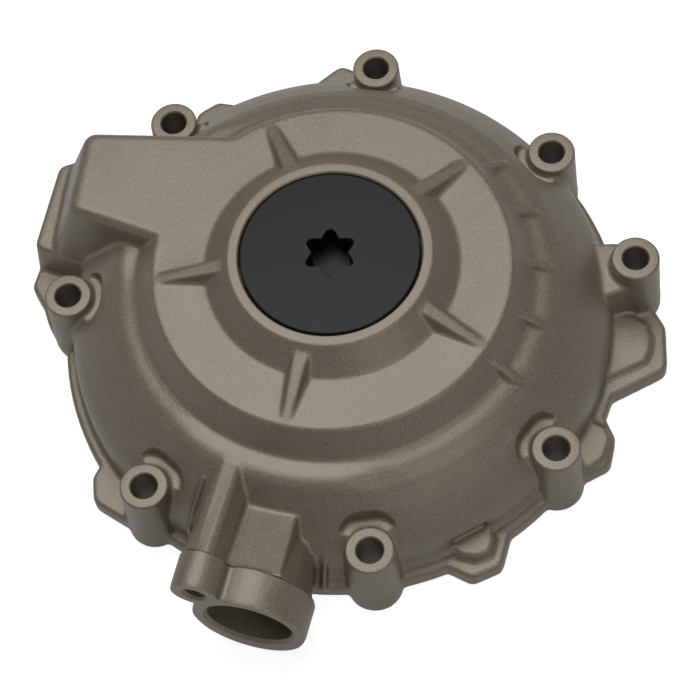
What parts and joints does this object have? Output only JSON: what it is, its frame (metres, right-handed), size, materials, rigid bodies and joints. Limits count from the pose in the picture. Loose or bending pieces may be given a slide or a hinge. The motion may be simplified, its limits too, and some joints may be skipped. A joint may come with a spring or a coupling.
{
  "type": "stator cover",
  "caption": "Domed cast engine side cover with raised bolt bosses, a wire box, a side socket and a black screw plug over the crank bolt.",
  "frame": {"origin": "on the crankshaft axis in the plane of the gasket face", "axes": "+Z outward along the crank axis, to the screw plug; -Y along the socket's bore; -X to the wire box"},
  "size_m": [0.1735, 0.1708, 0.047],
  "materials": {
    "cast_paint": "satin",
    "plug_black": "satin",
    "seal_rubber": "matte"
  },
  "bodies": {
    "casting": {"cover": "cast_paint"},
    "seal": {"plug_seal": "seal_rubber"},
    "plug": {"screw_plug": "plug_black"}
  },
  "joints": [
    {"name": "plug_lift", "type": "slide", "parent": "casting", "child": "seal", "axis": [0, 0, 1], "range_m": [0, 0.009]},
    {"name": "plug_turn", "type": "hinge", "parent": "seal", "child": "plug", "pos_m": [0, 0, 0.04], "axis": [0, 0, 1], "range_deg": [0, 2160]}
  ],
  "couplings": [
    {"joint": "plug_lift", "follows": "plug_turn", "m_per_rad": 0.00023873}
  ]
}
